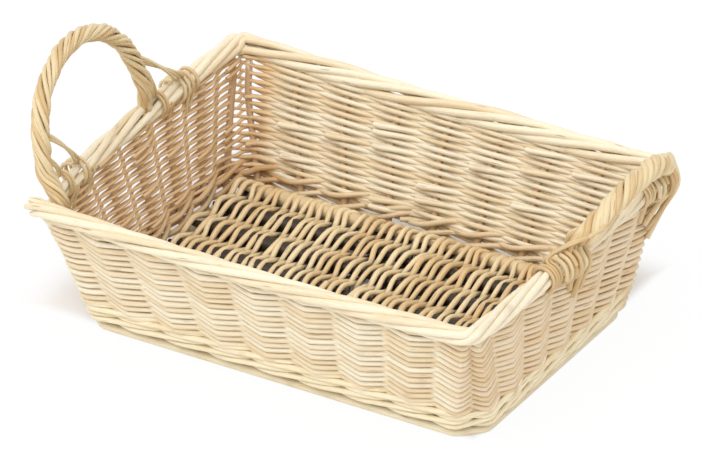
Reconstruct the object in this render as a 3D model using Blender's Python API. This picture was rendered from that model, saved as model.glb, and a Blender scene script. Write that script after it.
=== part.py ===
"""Willow basket: a flared rectangular tray with a rolled border and two rope handles.

Metres, +Z up. X runs along the basket, Y across it, and Z = 0 is the flat under its foot.
Every rod is a body of its own, woven as the maker weaves it: floor first, then the stakes,
the upsett wale, the siding, the border that the bent stakes make, and last the handles.
"""
import math
from collections import namedtuple

import bpy
from mathutils import Vector

# Outside sizes
RIM_LENGTH = 0.400
RIM_WIDTH = 0.308
RIM_HEIGHT = 0.117
BASE_LENGTH = 0.350
BASE_WIDTH = 0.228
CORNER_CUT = 0.018

# Rods
STAKE_DIAMETER = 0.0058
FOOT_DIAMETER = 0.0065
STICK_DIAMETER = 0.007
WALE_DIAMETER = 0.0046
WEAVER_DIAMETER = 0.0040
FLOOR_WEAVER_DIAMETER = 0.0044

# Fits
SEAT_GAP = 0.0003
WEAVE_CLEARANCE = 0.0012
CORNER_EASE_SHARE = 1.15
FOOT_FLAT_DEPTH = 0.0005
FOOT_INSET = 0.0015

# Floor
STICK_COUNT = 7
PASSES_PER_BAY = 6
ROOT_REACH_LONG_SIDE = 0.025
ROOT_REACH_SHORT_SIDE = 0.012
ROOT_BEND = 0.002
WRAP_ANGLE = math.radians(60)

# Siding
LONG_BAYS = 8
SHORT_BAYS = 6
WALE_ROUNDS = 2
WALE_PITCH = 0.005
COURSE_PAIRS = 8
START_BAY_SHARE = 0.5

# Border
LAY_RADIUS = 0.0074
BORDER_OUTSET = 0.0025
LAY_ANGLE = math.radians(72)
BORDER_STROKES = 4
TIP_BAY_SHARE = 0.4
TIP_SHARE = 0.75

# Handles: the right one rises less and leans out more. A foot's size says how far it stands
# past its stake, and an inset how far inside the middle of the border it stands.
HANDLE_BAYS = 3
LEFT_RISE = 0.100
LEFT_LEAN = math.radians(14.5)
LEFT_INSET = 0.0025
LEFT_FIRST_FOOT = 0.006
LEFT_SECOND_FOOT = 0.015
LEFT_TIE_BAY_SHARE = 0.63
LEFT_STRAND_TURNS = 4
RIGHT_RISE = 0.061
RIGHT_LEAN = math.radians(26)
RIGHT_INSET = 0.001
RIGHT_FIRST_FOOT = 0.013
RIGHT_SECOND_FOOT = 0.006
RIGHT_TIE_BAY_SHARE = 0.63
RIGHT_STRAND_TURNS = 3

# Rods of a handle
BOW_DIAMETER = 0.005
BOW_POINTS = 17
STRAND_DIAMETER = 0.005
STRAND_COUNT = 4
POINTS_PER_TURN = 8
ROPE_START = 0.0165
LEG_DEPTH = 0.045
LEG_STEPS = 3
TIE_DIAMETER = 0.003
TIE_TURNS = 2
TIE_POINTS = 10
TIE_PITCH = 0.0036
TIE_HEIGHT_SHARE = 0.38
TIE_LAY_SHARE = 0.92

# Half thicknesses
STAKE_RADIUS = STAKE_DIAMETER / 2
WALE_RADIUS = WALE_DIAMETER / 2
WEAVER_RADIUS = WEAVER_DIAMETER / 2
BORDER_RADIUS = LAY_RADIUS + STAKE_RADIUS
ROPE_RADIUS = BOW_DIAMETER / 2 + SEAT_GAP + STRAND_DIAMETER

# Levels, from the floor up: each rod lies on the one below it
FOOT_LEVEL = FOOT_DIAMETER / 2 - FOOT_FLAT_DEPTH
ROOT_LEVEL = FOOT_LEVEL + FOOT_DIAMETER / 2 + SEAT_GAP + STAKE_RADIUS
STICK_LEVEL = ROOT_LEVEL + STAKE_RADIUS + SEAT_GAP + STICK_DIAMETER / 2
WALE_LEVEL = ROOT_LEVEL + STAKE_RADIUS + SEAT_GAP + WALE_RADIUS
SIDING_LEVEL = WALE_LEVEL + (WALE_ROUNDS - 1) * WALE_PITCH + WALE_RADIUS + SEAT_GAP + WEAVER_RADIUS
BORDER_LEVEL = RIM_HEIGHT - BORDER_RADIUS
SIDING_TOP = BORDER_LEVEL - BORDER_RADIUS - TIE_DIAMETER - 2 * SEAT_GAP - WEAVER_RADIUS
COURSE_PITCH = (SIDING_TOP - SIDING_LEVEL) / (2 * COURSE_PAIRS - 1)

# The line of the stakes, as half sizes at the root and at the border
ROOT_HALF_X = BASE_LENGTH / 2 - FOOT_DIAMETER / 2 + FOOT_INSET
ROOT_HALF_Y = BASE_WIDTH / 2 - FOOT_DIAMETER / 2 + FOOT_INSET
BORDER_HALF_X = RIM_LENGTH / 2 - BORDER_OUTSET - BORDER_RADIUS
BORDER_HALF_Y = RIM_WIDTH / 2 - BORDER_OUTSET - BORDER_RADIUS

# One bay for each gap between stakes, side by side with the four corner cuts
BAYS = (LONG_BAYS, 1, SHORT_BAYS, 1, LONG_BAYS, 1, SHORT_BAYS, 1)
STAKE_COUNT = sum(BAYS)
HALF_ROUND = STAKE_COUNT // 2
START_STATION = HALF_ROUND + int(LONG_BAYS * START_BAY_SHARE)

# Offset of a weaver from the line of the stakes, in front of a stake or behind it
WEAVER_OFFSET = STAKE_RADIUS + WEAVER_RADIUS + WEAVE_CLEARANCE
WALE_OFFSET = STAKE_RADIUS + WALE_RADIUS + WEAVE_CLEARANCE

basket = bpy.data.collections.new("willow_basket")
cutters = bpy.data.collections.new("cutters")


def clear_scene():
    for item in list(bpy.data.objects):
        bpy.data.objects.remove(item, do_unlink=True)
    for group in (basket, cutters):
        bpy.context.scene.collection.children.link(group)


def willow(name, colour, roughness):
    """A peeled rod's finish."""
    material = bpy.data.materials.new(name)
    material.use_nodes = True
    shader = material.node_tree.nodes["Principled BSDF"]
    shader.inputs["Base Color"].default_value = (*colour, 1)
    shader.inputs["Roughness"].default_value = roughness
    shader.inputs["Metallic"].default_value = 0
    return material


def rod(name, points, diameter, material, sides=4, closed=False, sizes=None, twist="Z_UP"):
    """A round rod along points, with flat cut ends; sizes are shares of its diameter."""
    curve = bpy.data.curves.new(name, "CURVE")
    curve.dimensions = "3D"
    curve.twist_mode = twist
    curve.bevel_depth = diameter / 2
    curve.bevel_resolution = (sides - 4) // 2
    curve.use_fill_caps = not closed
    spline = curve.splines.new("POLY")
    spline.points.add(len(points) - 1)
    spline.use_cyclic_u = closed
    for index, point in enumerate(points):
        spline.points[index].co = (*point, 1)
        spline.points[index].radius = sizes[index] if sizes else 1
    curve.materials.append(material)
    item = bpy.data.objects.new(name, curve)
    basket.objects.link(item)
    return item


def octagon(outset, height):
    """The line of the stakes, moved outwards, as its corners clockwise from above."""
    share = (height - ROOT_LEVEL) / (BORDER_LEVEL - ROOT_LEVEL)
    half_x = ROOT_HALF_X + (BORDER_HALF_X - ROOT_HALF_X) * share + outset
    half_y = ROOT_HALF_Y + (BORDER_HALF_Y - ROOT_HALF_Y) * share + outset
    cut = CORNER_CUT + outset * (2 - math.sqrt(2))
    near_x = half_x - cut
    near_y = half_y - cut
    front = [(near_x, -half_y), (-near_x, -half_y), (-half_x, -near_y), (-half_x, near_y)]
    back = [(-x, -y) for x, y in front]
    return [Vector((x, y, height)) for x, y in front + back]


def station_edge(station):
    """The edge that a station lies on, and how far along it."""
    left = station % STAKE_COUNT
    for edge, bays in enumerate(BAYS):
        if left < bays:
            return edge, left / bays
        left -= bays
    return 0, 0


def stake_point(station, outset, height):
    corners = octagon(outset, height)
    edge, share = station_edge(station)
    return corners[edge].lerp(corners[(edge + 1) % len(corners)], share)


def wall_point(station, outset, height):
    """A point beside the line of the stakes; a station between two stakes may be given."""
    low = math.floor(station)
    here = stake_point(low, outset, height)
    return here.lerp(stake_point(low + 1, outset, height), station - low)


def inward(station):
    """The level direction from a stake towards the floor, square to its side."""
    edge, _ = station_edge(station)
    side = edge - edge % 2
    corners = octagon(0, ROOT_LEVEL)
    along = (corners[side + 1] - corners[side]).normalized()
    return Vector((along.y, -along.x, 0)), side % 4 == 0


def foot(material):
    """The thick rod that runs round under the stakes, cut flat where it stands."""
    line = [(corner.x, corner.y, FOOT_LEVEL) for corner in octagon(-FOOT_INSET, ROOT_LEVEL)]
    ring = rod("foot_rod", line, FOOT_DIAMETER, material, sides=8, closed=True)
    cut = solid_from(ring).modifiers.new("flat", "BOOLEAN")
    cut.operation = "DIFFERENCE"
    cut.object = ground_cutter()


def ground_cutter():
    """A block below the ground, wider than the basket."""
    bpy.ops.mesh.primitive_cube_add(size=1)
    cutter = bpy.context.object
    cutter.name = "ground_cutter"
    cutter.scale = (2 * RIM_LENGTH, 2 * RIM_WIDTH, RIM_HEIGHT)
    cutter.location = (0, 0, -RIM_HEIGHT / 2)
    cutter.hide_render = True
    cutter.display_type = "WIRE"
    for group in list(cutter.users_collection):
        group.objects.unlink(cutter)
    cutters.objects.link(cutter)
    return cutter


def solid_from(item):
    """The rod as a mesh, so that it can be cut."""
    name = item.name
    evaluated = item.evaluated_get(bpy.context.evaluated_depsgraph_get())
    mesh = bpy.data.meshes.new_from_object(evaluated)
    placed = item.matrix_world.copy()
    bpy.data.objects.remove(item, do_unlink=True)
    solid = bpy.data.objects.new(name, mesh)
    solid.matrix_world = placed
    basket.objects.link(solid)
    return solid


def floor_edge():
    """Half the width between the middles of the outermost sticks."""
    wale_face = octagon(-WALE_OFFSET - WALE_RADIUS, WALE_LEVEL)[1].y
    return -wale_face - FLOOR_WEAVER_DIAMETER - STICK_DIAMETER / 2 - 2 * SEAT_GAP


def sticks(material):
    """The thick rods along the floor, with their ends cut to a blunt point."""
    inner = octagon(-WALE_OFFSET - WALE_RADIUS - SEAT_GAP, WALE_LEVEL)[2]
    edge = floor_edge()
    for number in range(STICK_COUNT):
        across = edge * (2 * number / (STICK_COUNT - 1) - 1)
        into_corner = max(abs(across) + STICK_DIAMETER / 2 + inner.y, 0)
        reach = -inner.x - into_corner
        ends = (-reach, -reach + STICK_DIAMETER, reach - STICK_DIAMETER, reach)
        points = [(along, across, STICK_LEVEL) for along in ends]
        rod(f"floor_stick_{number + 1}", points, STICK_DIAMETER, material, sides=8,
            sizes=(TIP_SHARE, 1, 1, TIP_SHARE))


def floor_places():
    """Where the floor weaver crosses: an even set of passes between each two roots."""
    near_x = -octagon(0, ROOT_LEVEL)[1].x
    bay = 2 * near_x / LONG_BAYS
    margin = STAKE_RADIUS + SEAT_GAP + FLOOR_WEAVER_DIAMETER / 2
    step = (bay - 2 * margin) / (PASSES_PER_BAY - 1)
    return [-near_x + bay * number + margin + step * turn
            for number in range(LONG_BAYS) for turn in range(PASSES_PER_BAY)]


def floor_weaver(material):
    """One long rod, over and under the sticks and round the outermost, from end to end."""
    edge = floor_edge()
    seat = (STICK_DIAMETER + FLOOR_WEAVER_DIAMETER) / 2 + SEAT_GAP
    pitch = 2 * edge / (STICK_COUNT - 1)
    lift = seat / math.cos(math.atan(2 * seat / pitch))
    wrap = seat / math.cos(WRAP_ANGLE / 2)
    side_y = edge + wrap * math.cos(WRAP_ANGLE / 2)
    side_z = wrap * math.sin(WRAP_ANGLE / 2)
    places = floor_places()
    points = []
    for number, along in enumerate(places):
        way = 1 if number % 2 == 0 else -1
        first = way
        if number:
            points.append((along, -way * side_y, STICK_LEVEL + first * side_z))
        for stick in range(STICK_COUNT):
            across = way * edge * (2 * stick / (STICK_COUNT - 1) - 1)
            side = first if stick % 2 == 0 else -first
            height = wrap if stick in (0, STICK_COUNT - 1) else lift
            points.append((along, across, STICK_LEVEL + side * height))
        if number < len(places) - 1:
            points.append((along, way * side_y, STICK_LEVEL + side * side_z))
    rod("floor_weaver", points, FLOOR_WEAVER_DIAMETER, material)


def border_point(station, stroke):
    """Where a bent stake is after some strokes, each one bay along and a part turn round."""
    angle = -math.pi / 2 - LAY_ANGLE * stroke
    outset = BORDER_OUTSET + LAY_RADIUS * math.cos(angle)
    height = BORDER_LEVEL + LAY_RADIUS * math.sin(angle)
    return wall_point(station + stroke, outset, height)


def stake(station, material):
    """A side rod: its root under the floor, its upright, and its run along the border."""
    inwards, long_side = inward(station)
    reach = ROOT_REACH_LONG_SIDE if long_side else ROOT_REACH_SHORT_SIDE
    heel = wall_point(station, 0, ROOT_LEVEL)
    points = [
        heel + inwards * reach,
        heel + inwards * ROOT_BEND,
        wall_point(station, 0, ROOT_LEVEL + ROOT_BEND / 2) + inwards * ROOT_BEND / 4,
        wall_point(station, 0, WALE_LEVEL),
        wall_point(station, 0, BORDER_LEVEL - BORDER_RADIUS),
    ]
    strokes = list(range(BORDER_STROKES + 1)) + [BORDER_STROKES + TIP_BAY_SHARE]
    points += [border_point(station, stroke) for stroke in strokes]
    sizes = [1] * (len(points) - 1) + [TIP_SHARE]
    rod(f"stake_{station + 1:02d}", points, STAKE_DIAMETER, material, sides=6, sizes=sizes)


def weave_point(station, side, offset, height):
    """Where a weaver passes a stake: side 1 is in front of it and -1 behind it."""
    at_corner = station_edge(station)[1] == 0
    ease = CORNER_EASE_SHARE if at_corner and side == 1 else 1
    return stake_point(station, side * offset * ease, height)


def wale(material):
    """The upsett: a thick rod in front of two stakes and behind one, round after round."""
    points = []
    for step in range(WALE_ROUNDS * STAKE_COUNT):
        side = -1 if step % 3 == 2 else 1
        height = WALE_LEVEL + WALE_PITCH * (step // STAKE_COUNT)
        points.append(weave_point(START_STATION + step, side, WALE_OFFSET, height))
    rod("upsett_wale", points, WALE_DIAMETER, material)


def siding_weaver(name, chaser, material):
    """One of two weavers that chase each other up the wall, in front of every other stake."""
    points = []
    for step in range(COURSE_PAIRS * STAKE_COUNT):
        side = 1 if (step + chaser) % 2 == 0 else -1
        course = 2 * (step // STAKE_COUNT) + chaser
        height = SIDING_LEVEL + COURSE_PITCH * course
        points.append(weave_point(START_STATION + step, side, WEAVER_OFFSET, height))
    rod(name, points, WEAVER_DIAMETER, material)


Handle = namedtuple(
    "Handle", "name rise lean inset feet_past_stakes tie_bay_share strand_turns turned tie_labels")
HANDLES = (
    Handle("left_handle", LEFT_RISE, LEFT_LEAN, LEFT_INSET, (LEFT_FIRST_FOOT, LEFT_SECOND_FOOT),
           LEFT_TIE_BAY_SHARE, LEFT_STRAND_TURNS, False, ("front", "rear")),
    Handle("right_handle", RIGHT_RISE, RIGHT_LEAN, RIGHT_INSET, (RIGHT_FIRST_FOOT, RIGHT_SECOND_FOOT),
           RIGHT_TIE_BAY_SHARE, RIGHT_STRAND_TURNS, True, ("rear", "front")),
)


def at_its_end(handle, points):
    """Points of a handle, which is laid out at the left, turned about Z if it is the right one."""
    sign = -1 if handle.turned else 1
    return [Vector((sign * point.x, sign * point.y, point.z)) for point in points]


def handle_station(foot):
    """The stake that foot 0 or foot 1 stands a little past."""
    return STAKE_COUNT // 4 + 1 + foot * HANDLE_BAYS


def foot_place(handle, foot):
    """Where a foot stands along its side of the basket."""
    return stake_point(handle_station(foot), 0, BORDER_LEVEL).y + handle.feet_past_stakes[foot]


def border_middle(across):
    """The middle of the left border, at a place along it."""
    line = stake_point(handle_station(0), BORDER_OUTSET, BORDER_LEVEL)
    return Vector((line.x, across, BORDER_LEVEL))


def handle_frame(handle):
    """The handle's middle between its feet, half its width and its leaning up direction."""
    first = foot_place(handle, 0)
    second = foot_place(handle, 1)
    middle = border_middle((first + second) / 2) + Vector((handle.inset, 0, 0))
    up = Vector((-math.sin(handle.lean), 0, math.cos(handle.lean)))
    return middle, (second - first) / 2, up


def arch_point(handle, angle):
    """A point of the bow's half ellipse; angle 0 is the first foot and pi the second one."""
    middle, half, up = handle_frame(handle)
    return middle + Vector((0, -half * math.cos(angle), 0)) + up * handle.rise * math.sin(angle)


def arch_way(handle, angle):
    """The way in which the bow runs at an angle."""
    _, half, up = handle_frame(handle)
    return (Vector((0, half * math.sin(angle), 0)) + up * handle.rise * math.cos(angle)).normalized()


def rope_angle(handle):
    """The angle at which the rope begins, clear above the border."""
    return math.asin(ROPE_START / (handle.rise * math.cos(handle.lean)))


def arch_points(handle, count):
    """Points of the bow from one end of the rope to the other."""
    low = rope_angle(handle)
    return [arch_point(handle, low + (math.pi - 2 * low) * step / (count - 1)) for step in range(count)]


def leg_points(handle, foot):
    """The bow's end: over the border's inner side, then down inside the wall."""
    centre = border_middle(foot_place(handle, foot))
    start = arch_point(handle, rope_angle(handle)) - centre
    step_angle = math.atan2(start.z, start.x) / LEG_STEPS
    wide = (BORDER_RADIUS + SEAT_GAP + BOW_DIAMETER / 2) / math.cos(step_angle / 2)
    over = []
    for step in range(LEG_STEPS + 1):
        angle = step_angle * step
        over.append(centre + Vector((math.cos(angle), 0, math.sin(angle))) * wide)
    station = handle_station(foot)
    down = stake_point(station, 0, BORDER_LEVEL - LEG_DEPTH) - stake_point(station, 0, BORDER_LEVEL)
    return [over[0] + down] + over


def bow(handle, material):
    """The handle's core rod, bent to an arch, with its ends down inside the wall."""
    points = leg_points(handle, 0) + arch_points(handle, BOW_POINTS) + leg_points(handle, 1)[::-1]
    rod(f"{handle.name}_bow", at_its_end(handle, points), BOW_DIAMETER, material, sides=6,
        twist="MINIMUM")


def strand_points(handle, number):
    """One strand of the rope, laid round the bow between the two feet."""
    steps = handle.strand_turns * POINTS_PER_TURN
    path = arch_points(handle, steps + 1)
    _, _, up = handle_frame(handle)
    across = Vector((0, 1, 0)).cross(up).normalized()
    seat = (BOW_DIAMETER + STRAND_DIAMETER) / 2 + SEAT_GAP
    lay = seat / math.cos(math.pi / POINTS_PER_TURN)
    points = []
    for step, point in enumerate(path):
        along = (path[min(step + 1, steps)] - path[max(step - 1, 0)]).normalized()
        out = along.cross(across)
        angle = 2 * math.pi * (number / STRAND_COUNT + step / POINTS_PER_TURN)
        points.append(point + lay * (math.cos(angle) * out + math.sin(angle) * across))
    return points


def strands(handle, material):
    for number in range(STRAND_COUNT):
        points = at_its_end(handle, strand_points(handle, number))
        rod(f"{handle.name}_strand_{number + 1}", points, STRAND_DIAMETER, material, twist="MINIMUM")


def tie_points(handle, foot):
    """A thin rod from the rope's side down to the border, and round it."""
    place = wall_point(handle_station(foot) + handle.tie_bay_share, 0, BORDER_LEVEL).y
    side = 1 if place > foot_place(handle, foot) else -1
    angle = math.asin(TIE_HEIGHT_SHARE)
    if foot:
        angle = math.pi - angle
    beside = (ROPE_RADIUS + TIE_DIAMETER / 2 + SEAT_GAP) / math.sqrt(1 - arch_way(handle, angle).y ** 2)
    points = [arch_point(handle, angle) + Vector((0, side * beside, 0))]
    border = LAY_RADIUS * TIE_LAY_SHARE + STAKE_RADIUS
    wide = (border + SEAT_GAP + TIE_DIAMETER / 2) / math.cos(math.pi / TIE_POINTS)
    centre = border_middle(place)
    for step in range(TIE_POINTS * TIE_TURNS + 1):
        turn = step / TIE_POINTS
        spin = math.pi / 2 + 2 * math.pi * turn
        aside = side * TIE_PITCH * turn
        points.append(centre + Vector((math.cos(spin) * wide, aside, math.sin(spin) * wide)))
    return points


def ties(handle, material):
    for foot, label in enumerate(handle.tie_labels):
        points = at_its_end(handle, tie_points(handle, foot))
        rod(f"{handle.name}_tie_{label}", points, TIE_DIAMETER, material, sides=6, twist="MINIMUM")


def handles(bow_finish, strand_finish, tie_finish):
    for handle in HANDLES:
        bow(handle, bow_finish)
        strands(handle, strand_finish)
        ties(handle, tie_finish)


clear_scene()
foot(willow("foot_willow", (0.80, 0.68, 0.46), 0.6))
sticks(willow("stick_willow", (0.78, 0.63, 0.40), 0.62))
floor_weaver(willow("floor_weaver_willow", (0.74, 0.58, 0.36), 0.62))
stake_finish = willow("stake_willow", (0.84, 0.73, 0.50), 0.55)
for place in range(STAKE_COUNT):
    stake(place, stake_finish)
wale(willow("wale_willow", (0.80, 0.67, 0.44), 0.6))
siding_weaver("siding_weaver_a", 0, willow("weaver_willow_a", (0.84, 0.72, 0.49), 0.58))
siding_weaver("siding_weaver_b", 1, willow("weaver_willow_b", (0.80, 0.66, 0.43), 0.58))
handles(
    willow("bow_willow", (0.76, 0.62, 0.40), 0.6),
    willow("strand_willow", (0.80, 0.66, 0.42), 0.58),
    willow("tie_willow", (0.78, 0.62, 0.38), 0.6),
)
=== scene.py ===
"""The willow basket's looks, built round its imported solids, in the order in which it is woven."""
import math

import bpy
import numpy as np
from mathutils import Matrix, Vector


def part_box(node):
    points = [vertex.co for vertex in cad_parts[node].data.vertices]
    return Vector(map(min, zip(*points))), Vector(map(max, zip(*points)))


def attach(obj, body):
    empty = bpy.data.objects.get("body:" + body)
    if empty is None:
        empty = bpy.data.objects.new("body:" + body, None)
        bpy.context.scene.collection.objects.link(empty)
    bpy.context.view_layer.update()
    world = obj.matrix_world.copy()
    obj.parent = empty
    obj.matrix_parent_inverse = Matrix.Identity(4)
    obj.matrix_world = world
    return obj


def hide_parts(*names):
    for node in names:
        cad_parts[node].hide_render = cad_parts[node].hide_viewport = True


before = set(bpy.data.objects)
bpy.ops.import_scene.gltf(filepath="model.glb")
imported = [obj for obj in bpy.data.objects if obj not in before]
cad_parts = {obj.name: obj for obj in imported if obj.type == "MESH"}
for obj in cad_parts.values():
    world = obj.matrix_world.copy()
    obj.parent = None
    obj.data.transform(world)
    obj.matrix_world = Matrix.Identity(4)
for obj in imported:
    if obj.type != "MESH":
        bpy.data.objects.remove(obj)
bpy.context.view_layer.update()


# Camera. A long lens, about 32 degrees to the right of the front and 31 degrees above the
# basket, which looks down into it over its front side.
TURN, TILT, ROLL = math.radians(31.89), math.radians(30.85), math.radians(1.05)
AIM, DISTANCE = Vector((-0.0021, 0, 0.0732)), 9.0
LENS, FARTHEST_SEEN = 615.3, 20
back = Vector((math.sin(TURN) * math.cos(TILT), -math.cos(TURN) * math.cos(TILT),
               math.sin(TILT)))
camera = bpy.data.objects.new("camera", bpy.data.cameras.new("camera"))
camera.data.lens = LENS
camera.data.clip_end = FARTHEST_SEEN
camera.location = AIM + back * DISTANCE
upright = back.to_track_quat("Z", "Y").to_matrix()
camera.rotation_euler = (upright @ Matrix.Rotation(-ROLL, 3, "Z")).to_euler()
bpy.context.scene.collection.objects.link(camera)
bpy.context.scene.camera = camera

# Foot rod. One stout peeled rod bent round the base, on which the basket stands. Its two ends
# are cut to long slants that lie on each other. The stakes rest on it.
FOOT_RADIUS, FOOT_IN, FOOT_TONE = 0.00325, 0.0015, 0.2
FOOT_START, FOOT_SPACING = 18.2, 0.125
FOOT_SCARF, SCARF_THINNING = 1.1, 0.45

# The line of the stakes: the bays between them on the front, the left, the back and the right,
# each with a bay across its corner, and their box with cut corners at the root and the border.
# The border bulges at the left, and rises to its corners, but hardly to the rear right one.
BAYS = (8, 1, 6, 1, 8, 1, 6, 1)
STAKES = sum(BAYS)
LEFT_SIDE = 2
ROOT_LEVEL, BORDER_LEVEL = 0.00923, 0.1067
ROOT_HALF, BORDER_HALF = (0.17325, 0.11225), (0.1872, 0.1412)
ROOT_CUT, BORDER_CUT = 0.018, 0.005
LEFT_BULGE, CORNER_LIFT = 0.007, 0.004
REAR_RIGHT_LOWER, REAR_RIGHT_REACH = 0.9, 0.15
CORNER_ROUND = np.linspace(-0.12, 0.12, 5)


def stake_line(station, outset, height):
    """Places on the line of the stakes, moved outwards. A station is a count of stakes from
    the right end of the front, leftwards round the basket."""
    station, outset, height = np.broadcast_arrays(
        *(np.asarray(value, float) for value in (station, outset, height)))
    share = (height - ROOT_LEVEL) / (BORDER_LEVEL - ROOT_LEVEL)
    half = [low + (high - low) * share + outset for low, high in zip(ROOT_HALF, BORDER_HALF)]
    cut = ROOT_CUT + (BORDER_CUT - ROOT_CUT) * share + outset * (2 - math.sqrt(2))
    near = [side - cut for side in half]
    ring = [(near[0], -half[1]), (-near[0], -half[1]), (-half[0], -near[1]), (-half[0], near[1]),
            (-near[0], half[1]), (near[0], half[1]), (half[0], near[1]), (half[0], -near[1])]
    ring = np.moveaxis(np.array(ring + ring[:1]), 1, -1)
    starts = np.cumsum((0,) + BAYS)
    left = station % STAKES
    edge = np.clip(np.searchsorted(starts, left, side="right") - 1, 0, len(BAYS) - 1)
    along = (left - starts[edge]) / np.array(BAYS)[edge]
    first = np.take_along_axis(ring, edge[None, ..., None], 0)[0]
    second = np.take_along_axis(ring, edge[None, ..., None] + 1, 0)[0]
    flat = first + (second - first) * along[..., None]
    rising = np.clip(share, 0, 1)
    bowed = np.cos(math.pi / 2 * np.clip(flat[..., 1] / half[1], -1, 1))
    flat[..., 0] -= np.where(edge == LEFT_SIDE, LEFT_BULGE * rising * bowed, 0)
    near_corner = np.where(edge % 2, 1, (2 * along - 1) ** 2)
    rear_right = np.prod(np.clip(flat / REAR_RIGHT_REACH, 0, 1), -1)
    lift = near_corner * rising * CORNER_LIFT * (1 - REAR_RIGHT_LOWER * rear_right)
    return np.concatenate([flat, (height + lift)[..., None]], -1)


def wall(station, outset, height):
    """The line of the stakes with its corners rounded, as a rod bends round them."""
    station = np.asarray(station, float)
    return np.mean([stake_line(station + step, outset, height) for step in CORNER_ROUND], 0)


class Plug:
    """A socket in a node tree; a sign between two of them adds the node that works it out."""

    def __init__(self, tree, socket=None):
        self.tree = tree
        self.socket = socket

    def add(self, kind, settings=None, sockets=None, output=0):
        node = self.tree.nodes.new(kind)
        for name, value in (settings or {}).items():
            setattr(node, name, value)
        for name, value in (sockets or {}).items():
            if isinstance(value, Plug):
                self.tree.links.new(value.socket, node.inputs[name])
            else:
                node.inputs[name].default_value = value
        return Plug(self.tree, node.outputs[output])

    def maths(self, operation, *values):
        return self.add("ShaderNodeMath", {"operation": operation}, dict(enumerate(values)))

    def __add__(self, other):
        return self.maths("ADD", self, other)

    def __sub__(self, other):
        return self.maths("SUBTRACT", self, other)

    def __rsub__(self, other):
        return self.maths("SUBTRACT", other, self)

    def __mul__(self, other):
        return self.maths("MULTIPLY", self, other)

    __radd__ = __add__
    __rmul__ = __mul__

    def parts(self):
        """The three numbers of this vector."""
        node = self.add("ShaderNodeSeparateXYZ", None, {0: self}).socket.node
        return [Plug(self.tree, output) for output in node.outputs]

    def ramp(self, low, high):
        """0 up to low and 1 from high, with a soft rise between them."""
        return self.add("ShaderNodeMapRange", {"interpolation_type": "SMOOTHSTEP"},
                        {"Value": self, "From Min": low, "From Max": high})

    def towards(self, other, share):
        """This colour mixed with another one."""
        return self.add("ShaderNodeMix", {"data_type": "RGBA"},
                        {0: share, 6: self, 7: other}, 2)


# How fine a rod's bends and swellings are, how far a rod's tone sets its noise apart from the
# next rod's, the corners of a face of its side, and the angle from which an edge stays sharp
WOBBLE_SCALE, SWELL_SCALE = 45.0, 70.0
TONE_APART = 91.7
SIDE_CORNERS, SHARP_FROM = 4, math.radians(62)


def rod_skin():
    """The tree that gives lines of points the skin of willow rods, with their cut ends."""
    tree = bpy.data.node_groups.new("willow_rods", "GeometryNodeTree")
    sockets = (("Lines", "NodeSocketGeometry"), ("Sides", "NodeSocketInt"),
               ("Wobble", "NodeSocketFloat"), ("Swell", "NodeSocketFloat"),
               ("Seed", "NodeSocketFloat"), ("Finish", "NodeSocketMaterial"))
    for name, kind in sockets:
        tree.interface.new_socket(name, in_out="INPUT", socket_type=kind)
    tree.interface.new_socket("Rods", in_out="OUTPUT", socket_type="NodeSocketGeometry")
    entry = tree.nodes.new("NodeGroupInput")
    given = {name: Plug(tree, entry.outputs[name]) for name, _ in sockets}
    start = given["Lines"]

    def carried(name):
        return start.add("GeometryNodeInputNamedAttribute", {"data_type": "FLOAT"},
                         {"Name": name})

    def stored(geometry, name, value, domain="POINT", data_type="FLOAT"):
        return start.add("GeometryNodeStoreNamedAttribute",
                         {"data_type": data_type, "domain": domain},
                         {"Geometry": geometry, "Name": name, "Value": value})

    own = carried("tone") * TONE_APART + given["Seed"]
    place = start.add("GeometryNodeInputPosition")

    def noise(scale, output):
        return start.add("ShaderNodeTexNoise", {"noise_dimensions": "4D"},
                         {"Vector": place, "W": own, "Scale": scale, "Detail": 1.0}, output)

    curves = start.add("GeometryNodeMeshToCurve", None, {"Mesh": given["Lines"]})
    shake = start.add("ShaderNodeVectorMath", {"operation": "SUBTRACT"},
                      {0: noise(WOBBLE_SCALE, 1), 1: (0.5, 0.5, 0.5)})
    shake = start.add("ShaderNodeVectorMath", {"operation": "SCALE"},
                      {0: shake, "Scale": given["Wobble"]})
    curves = start.add("GeometryNodeSetPosition", None, {"Geometry": curves, "Offset": shake})
    swell = 1 + (noise(SWELL_SCALE, 0) - 0.5) * given["Swell"]
    length = start.add("GeometryNodeSplineParameter", output="Length")
    curves = stored(curves, "along", length + own)
    ring = start.add("GeometryNodeCurvePrimitiveCircle", None,
                     {"Resolution": given["Sides"], "Radius": 1.0})
    ring = stored(ring, "girth", place, data_type="FLOAT_VECTOR")
    skin = start.add("GeometryNodeCurveToMesh", None,
                     {"Curve": curves, "Profile Curve": ring, "Scale": carried("thick") * swell,
                      "Fill Caps": True})
    corners = start.add("GeometryNodeInputMeshFaceNeighbors", output="Vertex Count")
    end = start.add("FunctionNodeCompare", {"data_type": "INT", "operation": "GREATER_THAN"},
                    {2: corners, 3: SIDE_CORNERS})
    skin = stored(skin, "cut", end, domain="FACE")
    edge = start.add("GeometryNodeInputMeshEdgeAngle", output="Unsigned Angle")
    sharp = start.add("FunctionNodeCompare", {"data_type": "FLOAT", "operation": "GREATER_THAN"},
                      {0: edge, 1: SHARP_FROM})
    skin = start.add("GeometryNodeSetShadeSmooth", {"domain": "FACE"},
                     {"Geometry": skin, "Shade Smooth": True})
    skin = start.add("GeometryNodeSetShadeSmooth", {"domain": "EDGE"},
                     {"Geometry": skin, "Selection": sharp, "Shade Smooth": False})
    skin = start.add("GeometryNodeRealizeInstances", None, {"Geometry": skin})
    skin = start.add("GeometryNodeSetMaterial", None,
                     {"Geometry": skin, "Material": given["Finish"]})
    leave = tree.nodes.new("NodeGroupOutput")
    tree.links.new(skin.socket, leave.inputs["Rods"])
    return tree


ROD_SKIN = rod_skin()


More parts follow.
